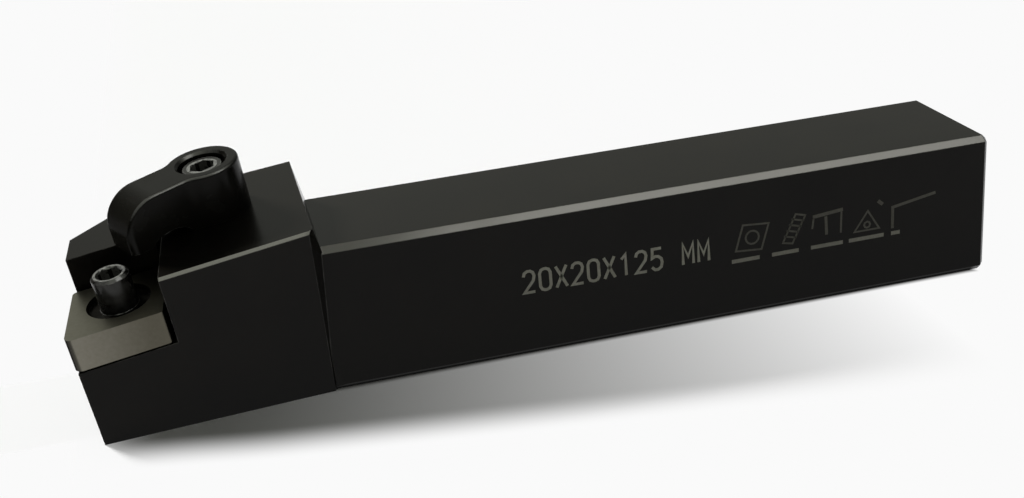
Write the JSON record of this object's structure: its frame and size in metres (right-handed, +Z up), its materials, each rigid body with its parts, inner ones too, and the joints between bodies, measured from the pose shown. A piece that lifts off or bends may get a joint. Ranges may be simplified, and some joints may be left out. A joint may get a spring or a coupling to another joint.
{
  "type": "turning tool holder",
  "caption": "Square-shank external turning tool holder with a tilted insert pocket, shim, lock pin and top clamp; built for a rhombic insert, which is not fitted.",
  "frame": {"origin": "on the flat bottom face, on the centre line of the 20 mm shank, under the shoulder where the raised head ends", "axes": "+X along the shank to its rear end, +Y square to it towards the side away from the cutting edge, +Z up to the side with the clamp"},
  "size_m": [0.1242, 0.0243, 0.031],
  "materials": {
    "body_steel": "black oxide, semi-gloss",
    "shim_carbide": "ground cemented carbide, satin",
    "pin_steel": "black oxide, turned, semi-gloss",
    "clamp_steel": "black oxide, semi-gloss",
    "screw_steel": "black oxide, semi-gloss"
  },
  "bodies": {
    "holder": {"tool_body": "body_steel", "shim": "shim_carbide"},
    "screw": {"clamp_screw": "screw_steel"},
    "clamp_arm": {"clamp": "clamp_steel"},
    "pin": {"lock_pin": "pin_steel"}
  },
  "joints": [
    {"name": "screw_turn", "type": "hinge", "parent": "holder", "child": "screw", "pos_m": [-0.01209, 0.00136, 0.0239], "axis": [-0.104, -0.104, 0.9891], "range_deg": [0, 900]},
    {"name": "clamp_lift", "type": "slide", "parent": "holder", "child": "clamp_arm", "axis": [-0.104, -0.104, 0.9891], "range_m": [0, 0.005]},
    {"name": "pin_turn", "type": "hinge", "parent": "holder", "child": "pin", "pos_m": [-0.02593, -0.00805, 0.02145], "axis": [-0.104, -0.104, 0.9891], "range_deg": [0, 360]}
  ],
  "couplings": [
    {"joint": "screw_turn", "follows": "clamp_lift", "rad_per_m": 3141.6}
  ]
}
